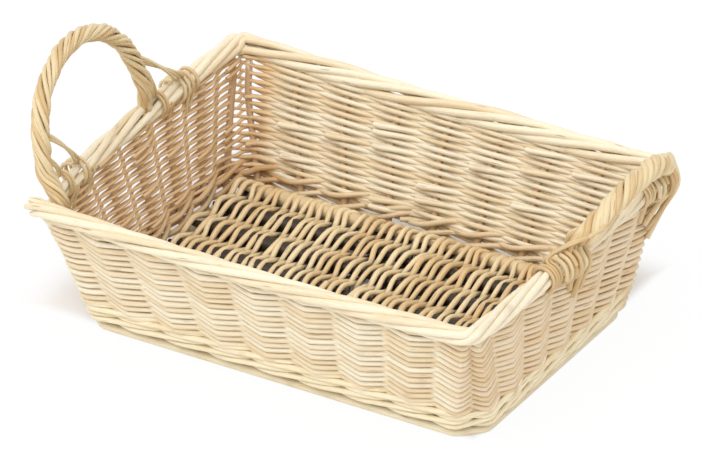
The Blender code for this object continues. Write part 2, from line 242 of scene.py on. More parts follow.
def rods(name, lines, sides, finish, nodes, wobble=0.0003, swell=0.16, seed=1):
    """A piece of willow rods. Each line is its points, their half thicknesses and its tone."""
    places, thick, tones, edges = [], [], [], []
    for points, radii, tone in lines:
        first = sum(map(len, places))
        edges += [(first + step, first + step + 1) for step in range(len(points) - 1)]
        places.append(np.asarray(points))
        thick.append(np.broadcast_to(radii, len(points)))
        tones.append(np.full(len(points), tone))
    mesh = bpy.data.meshes.new(name)
    mesh.from_pydata(np.concatenate(places).tolist(), edges, [])
    for label, values in (("thick", thick), ("tone", tones)):
        mesh.attributes.new(label, "FLOAT", "POINT").data.foreach_set(
            "value", np.concatenate(values).astype(np.float32))
    piece = bpy.data.objects.new(name, mesh)
    bpy.context.scene.collection.objects.link(piece)
    skin = piece.modifiers.new("skin", "NODES")
    skin.node_group = ROD_SKIN
    values = {"Sides": sides, "Wobble": wobble, "Swell": swell, "Seed": float(seed),
              "Finish": finish}
    for item in ROD_SKIN.interface.items_tree:
        if item.in_out == "INPUT" and item.name in values:
            skin[item.identifier] = values[item.name]
    ready = piece.evaluated_get(bpy.context.evaluated_depsgraph_get())
    piece.data = bpy.data.meshes.new_from_object(ready)
    piece.modifiers.clear()
    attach(piece, "root")
    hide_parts(*nodes)
    return piece


# What makes a rod warmer, and how much the streaks, patches, scars and cut ends darken it
BY_TONE, BY_DRIFT, BY_STREAK, PALER = 0.55, 0.75, 0.7, 0.12
WARM_EDGE, STREAK_EDGE = (0.28, 0.82), (0.53, 0.7)
PATCH_EDGE, SCAR_EDGE = (0.62, 0.8), (0.07, 0.14)
STREAK_SHARE, PATCH_SHARE, SCAR_SHARE, CUT_SHARE = 0.35, 0.3, 0.55, 0.6
SCAR_SHADE, CUT_SHADE = 0.45, 0.62
ROUGHNESS, ROUGHNESS_VARIES, SHINE = 0.45, 0.25, 0.4
STREAK_HEIGHT, FIBRE_HEIGHT, SCAR_DEPTH = 0.6, 0.5, 0.6
RELIEF_STRENGTH, RELIEF_DEPTH = 0.35, 0.0004


def willow(name, pale, warm, deep, shade_or_colour=None, shade_or_colour_share=None):
    """Peeled willow: pale and warm rods, streaks along the grain, bud scars and cut ends.
    Where the share worked out from a place is high, the rods take a second colour, which is painted
    shade on most pieces and willow's own colour on the floor's back stick."""
    material = bpy.data.materials.new(name)
    material.use_nodes = True
    tree = material.node_tree
    shader = tree.nodes["Principled BSDF"]
    start = Plug(tree)

    def carried(label, output="Fac"):
        return start.add("ShaderNodeAttribute", {"attribute_name": label}, output=output)

    tone, along, cut = carried("tone"), carried("along"), carried("cut")
    bend, across, _ = carried("girth", "Vector").parts()
    where = start.add("ShaderNodeTexCoord", output="Object")

    def grain(girth, length):
        """The rod's surface as a space, with how fine it is round the rod and along it."""
        return start.add("ShaderNodeCombineXYZ", None,
                         {0: bend * girth, 1: across * girth, 2: along * length})

    def noise(vector, scale, detail=3.0):
        return start.add("ShaderNodeTexNoise", None,
                         {"Vector": vector, "Scale": scale, "Detail": detail, "Roughness": 0.6})

    streak = noise(grain(girth=1, length=26), scale=3.1)
    fibre = noise(grain(girth=7, length=40), scale=1.6)
    patch = noise(where, scale=34.0, detail=2.0)
    drift = noise(start.add("ShaderNodeCombineXYZ", None, {0: along * 9, 1: tone * 37}),
                  scale=1.0, detail=2.0)
    spots = start.add("ShaderNodeTexVoronoi", {"feature": "F1"}, {
        "Vector": grain(girth=0.8, length=24), "Scale": 1.0, "Randomness": 1.0})
    scar = 1 - spots.ramp(*SCAR_EDGE)
    streaked = (streak * 0.6 + fibre * 0.4).ramp(*STREAK_EDGE)
    warmth = tone * BY_TONE + drift * BY_DRIFT + (streak - 0.5) * BY_STREAK - PALER

    colour = start.add("ShaderNodeRGB")
    colour.socket.default_value = (*pale, 1)
    colour = colour.towards((*warm, 1), warmth.ramp(*WARM_EDGE))
    # Painted shade mixed in by place, or on the floor's back stick willow's own colour
    if shade_or_colour_share:
        colour = colour.towards((*shade_or_colour, 1), shade_or_colour_share(*where.parts()))
    colour = colour.towards((*deep, 1), streaked * STREAK_SHARE)
    colour = colour.towards((*deep, 1), patch.ramp(*PATCH_EDGE) * PATCH_SHARE)
    colour = colour.towards((*[part * SCAR_SHADE for part in deep], 1), scar * SCAR_SHARE)
    colour = colour.towards((*[part * CUT_SHADE for part in warm], 1), cut * CUT_SHARE)
    roughness = ROUGHNESS + (fibre - 0.5) * ROUGHNESS_VARIES
    relief = start.add("ShaderNodeBump", None, {
        "Height": streak * STREAK_HEIGHT + fibre * FIBRE_HEIGHT - scar * SCAR_DEPTH,
        "Strength": RELIEF_STRENGTH, "Distance": RELIEF_DEPTH})
    tree.links.new(colour.socket, shader.inputs["Base Color"])
    tree.links.new(roughness.socket, shader.inputs["Roughness"])
    tree.links.new(relief.socket, shader.inputs["Normal"])
    shader.inputs["Specular IOR Level"].default_value = SHINE
    return material


place = np.arange(0, STAKES + FOOT_SCARF, FOOT_SPACING)
slant = np.clip((place - STAKES) / FOOT_SCARF, 0, 1) - np.clip(1 - place / FOOT_SCARF, 0, 1)
foot_size = FOOT_RADIUS * (1 - SCARF_THINNING * np.abs(slant))
foot_line = wall(place + FOOT_START, -FOOT_IN, ROOT_LEVEL)
foot_line[:, 2] = foot_size + np.maximum(slant, 0) * FOOT_RADIUS
foot_finish = willow("foot_willow", pale=(0.89, 0.79, 0.57), warm=(0.78, 0.62, 0.37),
                     deep=(0.42, 0.24, 0.10))
rods("foot_rod_dressed", [(foot_line, foot_size, FOOT_TONE)], 14, foot_finish,
     ["foot_rod"], wobble=0.0002, swell=0.06)

# Floor sticks. Seven thick rods side by side along the floor, with their ends cut blunt. They
# are the warp that the floor's thin rods are woven over and under.
STICK_RADIUS, STICK_END, STICK_SPACING = 0.0028, 0.004, 0.008
stick_nodes = [f"floor_stick_{number}" for number in range(1, 8)]
stick_boxes = [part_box(node) for node in stick_nodes]
STICK_LEVEL = (stick_boxes[0][0].z + stick_boxes[0][1].z) / 2
stick_rows = [(low.y + high.y) / 2 for low, high in stick_boxes]
chance = np.random.default_rng(7)


def bent(points, spacing):
    """A line through the points, bent as a rod bends, with a point at about every spacing.
    Each row may hold more than a place, such as the rod's half thickness there."""
    points = np.asarray(points, float)
    gaps = np.linalg.norm(np.diff(points[:, :3], axis=0), axis=1)
    slopes = np.diff(points, axis=0) / gaps[:, None]
    before, after = gaps[:-1, None], gaps[1:, None]
    inner = (slopes[:-1] * after + slopes[1:] * before) / (before + after)
    ways = np.concatenate([slopes[:1], inner, slopes[-1:]])
    line = []
    for here, there, way, next_way, gap in zip(points[:-1], points[1:], ways[:-1], ways[1:], gaps):
        count = max(1, math.ceil(gap / spacing))
        share = (np.arange(count) / count)[:, None]
        rest = 1 - share
        line.append((1 + 2 * share) * rest ** 2 * here + share ** 2 * (3 - 2 * share) * there
                    + gap * share * rest ** 2 * way - gap * share ** 2 * rest * next_way)
    return np.concatenate(line + [points[-1:]])


def stick_out_of_shade(x, y, z):
    """The other sticks are painted near black as shade under the weave; only the stick at the back
    edge is light, in willow's colour.
    """
    return y.ramp(0.07, 0.08)


stick_lines = []
for row, (low, high) in zip(stick_rows, stick_boxes):
    stations = ((low.x, 0.7), (low.x + STICK_END, 0.97), (0, 1), (high.x - STICK_END, 0.94),
                (high.x, 0.68))
    line = bent([(along, row, STICK_LEVEL, share) for along, share in stations], STICK_SPACING)
    stick_lines.append((line[:, :3], line[:, 3] * STICK_RADIUS, chance.uniform(0, 0.6)))
# The sticks' colours are near black: painted shade for where they lie under the weave. Only the
# back stick takes willow's colour.
stick_painted_shade_finish = willow("stick_willow", pale=(0.03, 0.017, 0.009), warm=(0.03, 0.015, 0.007),
                      deep=(0.02, 0.01, 0.005), shade_or_colour=(0.66, 0.50, 0.29), shade_or_colour_share=stick_out_of_shade)
rods("floor_sticks", stick_lines, 12, stick_painted_shade_finish, stick_nodes, wobble=0.0008)

# Floor weave. Thin brown rods that cross the sticks, over one and under the next, and turn
# back round the outermost stick. Each rod lasts about six crossings.
FLOOR_RADIUS, FLOOR_PASSES, FLOOR_REACH = 0.0023, 84, 0.1605
FLOOR_SPACING = 0.0047
LEAN_OVER, LEAN_BETWEEN = 0.0015, 0.001
ROD_POINTS, ROD_POINTS_VARY = 97, 9
# A rod's way back round the outermost stick: shares of the step to the next pass, and of the
# seat outwards and upwards
TURN_BACK = ((0.3, 0.82, 0.62), (0.6, 1.02, 0), (0.9, 0.82, -0.62))


def floor_painted_shade(x, y, z):
    """Painted shade darkens what lies low between the sticks."""
    return 1 - z.ramp(STICK_LEVEL - 0.003, STICK_LEVEL + 0.004)


seat = STICK_RADIUS + FLOOR_RADIUS
step = 2 * FLOOR_REACH / (FLOOR_PASSES - 1)
floor_points = []
for number in range(FLOOR_PASSES):
    along = -FLOOR_REACH + 2 * FLOOR_REACH * number / (FLOOR_PASSES - 1)
    way = 1 if number % 2 == 0 else -1
    rows = stick_rows[::way]
    for turn, row in enumerate(rows):
        side = 1 if (turn + number) % 2 == 0 else -1
        lean = chance.normal(0, LEAN_OVER)
        level = STICK_LEVEL + side * seat * chance.uniform(1, 1.2)
        floor_points.append((along + lean, row, level))
        if turn < len(rows) - 1:
            middle = (row + rows[turn + 1]) / 2
            floor_points.append((along + chance.normal(0, LEAN_BETWEEN), middle, STICK_LEVEL))
    if number < FLOOR_PASSES - 1:
        for onwards, outwards, upwards in TURN_BACK:
            floor_points.append((along + step * onwards, rows[-1] + way * seat * outwards,
                                 STICK_LEVEL + side * seat * upwards))
floor_points = np.array(floor_points)
floor_lines = []
first = 0
while first < len(floor_points) - 1:
    count = ROD_POINTS + int(chance.integers(-ROD_POINTS_VARY, ROD_POINTS_VARY))
    last = min(first + count, len(floor_points) - 1)
    stretch = bent(floor_points[first:last + 1], FLOOR_SPACING)
    size = FLOOR_RADIUS * np.linspace(1.1, 0.86, len(stretch)) * chance.uniform(0.94, 1.04)
    floor_lines.append((stretch, size, chance.uniform(0, 1)))
    first = last
# The near-black tint is painted shade on what lies low between the sticks.
floor_finish = willow("floor_weave_willow", pale=(0.82, 0.67, 0.42), warm=(0.70, 0.50, 0.26),
                      deep=(0.32, 0.18, 0.07), shade_or_colour=(0.04, 0.02, 0.01), shade_or_colour_share=floor_painted_shade)
rods("floor_weave", floor_lines, 8, floor_finish, ["floor_weaver"],
     wobble=0.0005)

# Stakes and border. 32 rods as thick as a pencil: each is caught under the floor, stands up
# through the wall, and is then laid along the border over five bays, where it winds once
# round the bundle that it makes with the rods before it. Its tip is cut on a slant.
STAKE_RADIUS, TIP_SHARE = 0.0029, 0.62
LAID_SHARE, LAID_GROWS, LAID_TAPERS = 0.98, 0.08, 0.02
LAY_RADIUS, LAY_ANGLE, LAY_BAYS = 0.0051, math.radians(72), 5.0
LAY_START, LAY_STEP, STAKE_SPACING = 0.12, 0.2, 0.005
BUNDLE_OUT, BUNDLE_LEVEL = 0.0020, 0.1083
LONG_ROOT, SHORT_ROOT = 0.021, 0.010
HALF_ROUND = STAKES // 2
# A stake's way up. Under the floor: the share of its root inwards, height and share of its
# thickness. Over the foot rod: inwards and height. In the wall: outwards, height and share
ROOT_WAY = ((1, 0.0052, 0.85), (0.5, 0.0066, 0.95))
TURN_UP_IN, TURN_UP_LEVEL = 0.0035, 0.0092
UPRIGHT_WAY = ((-0.0004, 0.0128, 1), (0, 0.024, 0.95), (0, 0.088, 0.95))
# At the front left and the rear right some rods run straight on and fan out: the station where
# each leaves the border, how many bays past it the rod ends, how fast it goes, and its rise
LEAVES_AT = {4: 8.1, 5: 8.1, 6: 8.1, 7: 8.1, 20: 24.0, 21: 24.0}
NEVER, LONGEST_PAST = 99, 0.5
LEAVES_FROM, LEAVES_TO, LEAVES_SPAN, LEAVES_SPEED = 0.6, 0.2, 0.4, 0.5
FAN_RISE, FAN_MIDDLE = 0.004, 5.5


def stake_painted_shade(x, y, z):
    """Below the border, where they stand inside the wall, the stakes are painted brown as shade."""
    return 0.8 - z.ramp(0.094, 0.101) * 0.8


stake_lines = []
for number in range(STAKES):
    heel = stake_line([number], 0, ROOT_LEVEL)[0]
    away = stake_line([number], 0.01, ROOT_LEVEL)[0] - heel
    away = away / np.abs(away).max()
    reach = LONG_ROOT if number % HALF_ROUND <= BAYS[0] else SHORT_ROOT
    line = [(*(heel - away * reach * inwards)[:2], level, share)
            for inwards, level, share in ROOT_WAY]
    line.append((*(heel - away * TURN_UP_IN)[:2], TURN_UP_LEVEL, 1))
    line += [(*wall([number], outwards, level)[0], share)
             for outwards, level, share in UPRIGHT_WAY]
    late, loose = chance.normal(0, 0.05), chance.normal(0, 0.0003)
    tip = LAY_BAYS + chance.uniform(-0.25, 0.2)
    leaves_at = LEAVES_AT.get(number, NEVER)
    for stroke in np.append(np.arange(LAY_START, tip - LAY_STEP, LAY_STEP), tip):
        angle = -math.pi / 2 - LAY_ANGLE * (stroke + late)
        wide = LAY_RADIUS + loose
        place = [number + min(stroke, leaves_at - number), leaves_at - LEAVES_FROM,
                 leaves_at - LEAVES_TO]
        spot, before, corner = wall(place, BUNDLE_OUT + wide * math.cos(angle),
                                    BUNDLE_LEVEL + wide * math.sin(angle))
        past = number + stroke - leaves_at
        if past > LONGEST_PAST:
            break
        if past > 0:
            spot = spot + (corner - before) * past / LEAVES_SPAN * LEAVES_SPEED
            spot[2] += past * FAN_RISE * (number % HALF_ROUND - FAN_MIDDLE)
        line.append((*spot, LAID_SHARE + LAID_GROWS * min(stroke, 1) - LAID_TAPERS * stroke))
    line[-1] = (*line[-1][:3], TIP_SHARE)
    line = bent(line, STAKE_SPACING)
    stake_lines.append((line[:, :3], line[:, 3] * STAKE_RADIUS * chance.uniform(0.95, 1.07),
                        chance.uniform(0, 0.75)))
# The stakes' brown below the border is painted shade inside the wall.
stake_finish = willow("stake_willow", pale=(0.86, 0.77, 0.58), warm=(0.78, 0.63, 0.41),
                      deep=(0.40, 0.24, 0.11), shade_or_colour=(0.46, 0.27, 0.12), shade_or_colour_share=stake_painted_shade)
rods("stakes_and_border", stake_lines, 12, stake_finish,
     [f"stake_{number:02d}" for number in range(1, STAKES + 1)], wobble=0.0005, swell=0.1)

# Upsett wale. Three rods woven in turn, each in front of two stakes and behind the third, for
# two rounds. They grip the stakes where these turn up, and lie as slanting strokes.
WALE_RADIUS, WALE_LEVEL, WALE_START = 0.0022, 0.0150, 20.3
WALE_RODS, WALE_ROUNDS, WALE_SPACING = 3, 2, 0.1
WALE_DEPTH, WALE_DROP = 0.85, 0.8
# How far before its start and short of its end the wale's first rod begins and ends, how far
# apart the others do, and how many bays each real rod lasts from its thick end to its tip
BEGINS_BEFORE, BEGIN_APART, ENDS_SHORT, END_APART = 1.3, 0.3, 0.8, 0.4
WALE_LASTS, WALE_THICK, WALE_TAPERS = 11.3, 1.08, 0.12


def wale_left_shade_back_brown(x, y, z):
    """The wale is painted browner at the left, as shade on the inside of the left wall, and is
    browner at the back.
    """
    return (0 - x).ramp(0.12, 0.145) * y.ramp(-0.1, -0.08) * 0.75 + y.ramp(0.08, 0.1) * 0.5


wale_lines = []
for number in range(WALE_RODS):
    place = np.arange(number * BEGIN_APART - BEGINS_BEFORE,
                      WALE_ROUNDS * STAKES - ENDS_SHORT + number * END_APART, WALE_SPACING)
    phase = (place + WALE_START - number) % WALE_RODS
    turn = np.where(phase < 1, phase, np.where(phase < 2, 1, 3 - phase))
    side = -np.cos(math.pi * turn)
    late = (phase - 0.5) % WALE_RODS
    drop = WALE_DROP * np.where(late < 2, np.cos(math.pi * late / 2),
                                -np.cos(math.pi * (late - 2)))
    rise = np.interp(place, (0, STAKES - 2, STAKES, 2 * STAKES), (0, 0, 1, 1))
    level = WALE_LEVEL + 2 * WALE_RADIUS * (drop + 2 * rise)
    size = WALE_RADIUS * (WALE_THICK - WALE_TAPERS * ((place / WALE_LASTS + number * 0.4) % 1))
    line = wall(place + WALE_START, side * (STAKE_RADIUS + WALE_RADIUS) * WALE_DEPTH, level)
    wale_lines.append((line, size, chance.uniform(0, 0.6)))
# The wale's brown at the left is painted shade; at the back it is only browner.
wale_finish = willow("wale_willow", pale=(0.88, 0.78, 0.56), warm=(0.78, 0.62, 0.37),
                     deep=(0.40, 0.23, 0.10), shade_or_colour=(0.60, 0.38, 0.18), shade_or_colour_share=wale_left_shade_back_brown)
rods("upsett_wale_dressed", wale_lines, 10, wale_finish, ["upsett_wale"])

# Siding. Thin rods in plain weave, in front of one stake and behind the next, 31 courses up to
# the border. Two sets chase each other. A rod lasts about eleven bays from its thick end to
# its tip, and its thick end is tucked inside the wall, beside the tip of the rod before it.
COURSES, SIDING_LOW, SIDING_HIGH = 31, 0.0218, 0.1065
BUTT_RADIUS, TIP_RADIUS = 0.00225, 0.0018
STEPS_PER_BAY = 8
FEWEST_PAIRS, MOST_PAIRS, LAST_ROD = 5, 7, 12
START_BEFORE, END_AFTER = 0.375, 0.45
TUCK_FROM, TUCK_SPAN, TUCK_RADII = 0.3, 0.6, 2.2
WEAVE_DEPTH, COURSE_DIP = 0.0044, 0.0028
PILE_BLUR, EDGE_FADE = 0.6, 0.01
# Where the ends and the long sides begin, and over what length that comes in. The rods lie
# flatter at the left and the back, and thicker where their outside shows
END_FROM, LONG_FROM, SIDE_FADE = 0.155, 0.100, 0.02
BACK_FLATTER, LEFT_FLATTER = 0.4, 0.3
BACK_LESS_DIP, LEFT_LESS_DIP = 0.4, 1.15
LEFT_THINNER, OUTSIDE_THICKER = 0.35, 0.24
BOTH_WAYS = np.array([[-1], [1]])
# A rod swings from side to side partly in a wave and partly in straight lines. At the left it
# crosses slowly one way and quickly back, at these phases and sides
WAVE_SHARE, STRAIGHT_SHARE = 0.25, 0.75
LEFT_PHASES, LEFT_SIDES = (0, 1, 1.3, 1.65, 2), (1, -1, -1, 1, 1)


def siding_painted_shade(x, y, z):
    """The siding is painted brown as shade at the left end, on the inside of the left wall, and a
    little at the right end, on the outside of the right wall.
    """
    return (0 - x).ramp(0.14, 0.165) * y.ramp(-0.12, -0.1) * 0.75 + x.ramp(0.155, 0.175) * 0.32


around = np.arange(STAKES * STEPS_PER_BAY) / STEPS_PER_BAY
breaks, sizes = [], []
for course in range(COURSES):
    first = int(chance.integers(0, HALF_ROUND)) * 2 + (course + 1) % 2
    starts = [first]
    while starts[-1] - first < STAKES - LAST_ROD:
        starts.append(starts[-1] + 2 * int(chance.integers(FEWEST_PAIRS, MOST_PAIRS + 1)))
    breaks.append(starts + [first + STAKES])
    size = np.zeros(len(around))
    for low, high in zip(breaks[-1][:-1], breaks[-1][1:]):
        share = ((around - low) % STAKES) / (high - low)
        size = np.where(share < 1, BUTT_RADIUS + (TIP_RADIUS - BUTT_RADIUS) * share, size)
    sizes.append(size)
# The courses lie on each other, so each one's level comes from how thick all are there
sizes = np.array(sizes)
pile = (np.cumsum(sizes, 0) - sizes / 2) / sizes.sum(0)
blur = np.exp(-(np.minimum(around, STAKES - around) / PILE_BLUR) ** 2)
pile = np.real(np.fft.ifft(np.fft.fft(pile, axis=1) * np.fft.fft(blur / blur.sum()), axis=1))
siding_lines = ([], [])
for course in range(COURSES):
    for low, high in zip(breaks[course][:-1], breaks[course][1:]):
        place = np.arange(low - START_BEFORE, high + END_AFTER, 1 / STEPS_PER_BAY)
        share = (place - low) / (high - low)
        size = BUTT_RADIUS + (TIP_RADIUS - BUTT_RADIUS) * np.clip(share, 0, 1)
        size = size * chance.uniform(0.96, 1.03)
        level = np.interp(place % STAKES, np.append(around, STAKES),
                          np.append(pile[course], pile[course][0]))
        level = SIDING_LOW + (SIDING_HIGH - SIDING_LOW) * level
        spot = wall(place, 0, level)
        at_left, at_right = np.clip((spot[:, 0] * BOTH_WAYS - END_FROM) / SIDE_FADE, 0, 1)
        at_front, at_back = np.clip((spot[:, 1] * BOTH_WAYS - LONG_FROM) / SIDE_FADE, 0, 1)
        phase = (place + course) % 2
        turn = np.minimum(phase, 2 - phase)
        side = WAVE_SHARE * np.cos(math.pi * turn) + STRAIGHT_SHARE * (1 - 2 * turn)
        side = side + (np.interp(phase, LEFT_PHASES, LEFT_SIDES) - side) * at_left
        flatter = 1 - BACK_FLATTER * at_back - LEFT_FLATTER * at_left
        less_dip = 1 - LEFT_LESS_DIP * at_left - BACK_LESS_DIP * at_back
        room = np.clip(np.minimum(level - SIDING_LOW, SIDING_HIGH - level) / EDGE_FADE, 0, 1)
        tuck = np.clip((low + TUCK_FROM - place) / TUCK_SPAN, 0, 1) * TUCK_RADII * BUTT_RADIUS
        line = wall(place, side * WEAVE_DEPTH * flatter - tuck, level)
        line[:, 2] -= side * COURSE_DIP * room * less_dip
        outside = np.maximum(side, 0) * np.maximum(at_front, at_right)
        size = size * (1 - LEFT_THINNER * at_left + outside * OUTSIDE_THICKER)
        siding_lines[course % 2].append((line, size, chance.uniform(0, 1)))
for number, letter in enumerate("ab"):
    # The siding's brown at its left and right ends is painted shade.
    siding_finish = willow(f"siding_willow_{letter}", pale=(0.86, 0.77, 0.59),
                           warm=(0.78, 0.63, 0.41), deep=(0.40, 0.23, 0.10),
                           shade_or_colour=(0.68, 0.43, 0.20), shade_or_colour_share=siding_painted_shade)
    rods(f"siding_{letter}", siding_lines[number], 8, siding_finish,
         [f"siding_weaver_{letter}"], wobble=0.0004, seed=number + 2)

# Handles. At each end a stout core rod is bent to an arch and sunk in the border, but the left
# one's front foot goes down inside the wall. Thin rods in four groups are laid round it as a
# rope, others bind it to the border, and at the right the rope's ends hang outside the wall.
CORE_RADIUS, STRAND_RADIUS, TIE_RADIUS = 0.0030, 0.0018, 0.0014
LEG_DROP, LOWEST_RISE, CORE_SPACING = 0.045, 0.021, 0.003


class Arch:
    """One handle's line over its two feet on the border. With a power of 1 it is half an
    ellipse, with less it is squarer, and with more it is slower to rise from its feet."""

    def __init__(self, stations, past, rise, lean, inset, sunk, turns, power, turned):
        self.stations, self.sunk, self.turns, self.turned = stations, sunk, turns, turned
        self.rise, self.power = rise, power
        self.low = math.asin((LOWEST_RISE / (rise * math.cos(lean))) ** (1 / power))
        sign = -1 if turned else 1
        self.feet, self.legs = [], []
        for station, further in zip(stations, past):
            bay = stake_line([station, station + 1], 0, BORDER_LEVEL)
            bay_length = abs(bay[1][1] - bay[0][1])
            foot = stake_line([station + further / bay_length], BUNDLE_OUT, BUNDLE_LEVEL)[0]
            leg = stake_line([station], 0, BORDER_LEVEL - LEG_DROP)[0] - bay[0]
            self.feet.append(foot + (sign * inset, 0, 0))
            self.legs.append((foot, leg))
        self.inward = np.array([sign, 0, 0])
        self.forth = np.array([0, sign, 0])
        self.up = np.array([-sign * math.sin(lean), 0, math.cos(lean)])

    def points(self, angle):
        """Places on the arch: 0 is its first foot and pi its second one."""
        angle = np.asarray(angle, float)[:, None]
        middle = (self.feet[0] + self.feet[1]) / 2
        half = (self.feet[1] - self.feet[0]) / 2
        height = np.clip(np.sin(angle), 0, 1) ** self.power
        return middle - half * np.cos(angle) + self.up * self.rise * height

    def above(self, foot, lift):
        """The place on the arch that is an angle further up than where a foot's rope ends."""
        angle = self.low + lift
        return self.points([math.pi - angle if foot else angle])[0]


# Where a foot that isn't sunk comes over the border and goes down beside it: how far inwards
# and up over the stakes, the gap to them, how far it goes back under, and shares of its leg
OVER_IN, OVER_UP = 0.0072, 0.0118
LEG_GAP, LEG_UNDER = 0.0056, 0.010
HALFWAY, LEG_END = 0.25, 0.6


def handle_core(arch):
    """The core rod, with its feet sunk straight into the border or bent down inside the wall."""
    bow = arch.points(np.linspace(arch.low, math.pi - arch.low, 40))
    ends = []
    for (foot, leg), end, sunk in zip(arch.legs, (bow[0], bow[-1]), arch.sunk):
        inward = arch.inward * (0 if sunk else 1)
        over = foot + inward * OVER_IN + (0, 0, OVER_UP)
        beside = foot + inward * (LAY_RADIUS + STAKE_RADIUS + LEG_GAP)
        over[1] = beside[1] = end[1]
        halfway = beside + leg * HALFWAY - inward * LEG_UNDER / 2
        under = beside - inward * LEG_UNDER + leg * LEG_END
        ends.append([under, halfway, beside, over])
    return bent(np.concatenate([ends[0], bow, ends[1][::-1]]), CORE_SPACING)


# The rods in each of the rope's groups, how much of the core's ends they leave bare, how slim
# the rope is at its ends and over what length, and how much thicker the right one's rods are
ROPE_GROUPS, ROPE_STEPS = (3, 3, 2, 3), 200
BARE_SUNK, BARE_LEG = 0.026, 0.013
SLIM_SHARE, SLIM_GROWS, SLIM_LENGTH = 0.7, 0.3, 0.03
RIGHT_THICKER, ROD_GAP = 1.35, 1.05
# How far the rods stray and wave, how many radians a metre they wave, and where they end
STRAY, WAVE, WAVES_ROUND, WAVES_OUT, END_STEPS = 0.05, 0.2, (40, 70), (60, 110), 7


def rope(arch):
    """Rods laid round the core in groups, which part a little from each other."""
    core = handle_core(arch)
    lengths = np.append(0, np.cumsum(np.linalg.norm(np.diff(core, axis=0), axis=1)))
    bare = [BARE_SUNK if sunk else BARE_LEG for sunk in arch.sunk]
    places = np.linspace(bare[0], lengths[-1] - bare[1], ROPE_STEPS)
    path = np.stack([np.interp(places, lengths, core[:, axis]) for axis in range(3)], 1)
    lengths = places - places[0]
    ways = np.gradient(path, axis=0)
    ways /= np.linalg.norm(ways, axis=1)[:, None]
    outward = np.cross(ways, np.cross(arch.feet[1] - arch.feet[0], arch.up))
    outward /= np.linalg.norm(outward, axis=1)[:, None]
    across = np.cross(outward, ways)
    from_end = np.minimum(lengths, lengths[-1] - lengths)
    slim = SLIM_SHARE + SLIM_GROWS * np.clip(from_end / SLIM_LENGTH, 0, 1)
    lines = []
    for group, members in enumerate(ROPE_GROUPS):
        for member in range(members):
            radius = STRAND_RADIUS * chance.uniform(0.82, 1.12)
            radius = radius * (RIGHT_THICKER if arch.turned else 1)
            gap = 2 * radius / (CORE_RADIUS + radius) * ROD_GAP
            spin = 2 * math.pi * (group / len(ROPE_GROUPS) + arch.turns * lengths / lengths[-1])
            spin = spin + gap * (member - (members - 1) / 2) + chance.normal(0, STRAY)
            spin = spin + WAVE * np.sin(lengths * chance.uniform(*WAVES_ROUND) + group * 2.1)
            loose = WAVE * np.sin(lengths * chance.uniform(*WAVES_OUT) + member * 3)
            wide = ((CORE_RADIUS + radius * (1.1 + loose)) * slim)[:, None]
            line = path + wide * (np.cos(spin)[:, None] * outward + np.sin(spin)[:, None] * across)
            low, high = chance.integers(0, END_STEPS), ROPE_STEPS - chance.integers(0, END_STEPS)
            size = radius * np.linspace(1.1, 0.88, ROPE_STEPS)[::1 if member % 2 else -1]
            lines.append((line[low:high], size[low:high], chance.uniform(0, 1)))
    return lines


# A tie's way off the rope, in three points: shares of the rope's half width outwards and along
# the border, and of a drop. Each turn lies further along, and a loose end falls inside the wall
TIE_LEAVES, TIE_DROP = ((0.5, 0, -1), (1.02, 0.2, -0.3), (0.45, 1.02, 0.6)), 0.004
TIE_STEPS, TIE_PITCH, TIE_SPACING, SLACK_OUT = 12, 0.0066, 0.004, 0.7
TIE_FALLS, FALL_STRAYS, FALL_OUT = (0.007, 0.015), 0.002, 0.2


def tie(arch, foot, bays, lift, turns, loose=0):
    """A rod from the rope's side down to the border, some bays past a foot's stake, and round
    the border."""
    begin = arch.above(foot, lift)
    middle = stake_line([arch.stations[foot] + bays], BUNDLE_OUT, BUNDLE_LEVEL)[0]
    side = 1 if (middle - arch.feet[foot]) @ arch.forth > 0 else -1
    rope_radius = CORE_RADIUS + 2 * STRAND_RADIUS + TIE_RADIUS
    past, down = arch.forth * side * rope_radius, np.array([0, 0, -TIE_DROP])
    line = [begin - arch.inward * rope_radius * out + past * along + down * drop
            for out, along, drop in TIE_LEAVES]
    wide = LAY_RADIUS + STAKE_RADIUS + TIE_RADIUS + loose
    middle = middle - arch.inward * loose * SLACK_OUT
    for spin in np.linspace(0, turns, int(turns * TIE_STEPS) + 1):
        angle = math.pi / 2 + 2 * math.pi * spin
        line.append(middle + arch.forth * side * TIE_PITCH * spin
                    + arch.inward * wide * math.cos(angle)
                    + np.array([0, 0, math.sin(angle) * wide]))
    if turns % 1 > 0.5:
        for fall in TIE_FALLS:
            stray = np.array([0, chance.normal(0, FALL_STRAYS), -fall])
            line.append(line[-1] + stray - arch.inward * fall * FALL_OUT)
    return bent(np.array(line), TIE_SPACING)


# A hanging end: how far up the rope it leaves, how far out and up it clears the border, and
# then, at three places down the wall, its drift along, its distance out and its share of drop
HANGS_FROM, CLEARS_OUT, CLEARS_UP = 0.3, 0.004, 0.0085
HANG_DRIFT, HANG_SHARES = np.array([0, 0.06, 0.16]), np.array([0.1, 0.55, 1])
HANG_FIRST_OUT, HANG_LAST_OUT = 0.0135, 0.006


def hanging(arch, foot, bays, drop, bulge):
    """A rod's end that comes off the rope, over the border and down outside the wall."""
    station = arch.stations[foot] + bays
    top = stake_line([station], BUNDLE_OUT + CLEARS_OUT, BUNDLE_LEVEL + CLEARS_UP)[0]
    down = stake_line(station + HANG_DRIFT * (-1) ** foot, [HANG_FIRST_OUT, bulge, HANG_LAST_OUT],
                      BUNDLE_LEVEL - drop * HANG_SHARES)
    return bent(np.array([arch.above(foot, HANGS_FROM), top, *down]), TIE_SPACING)


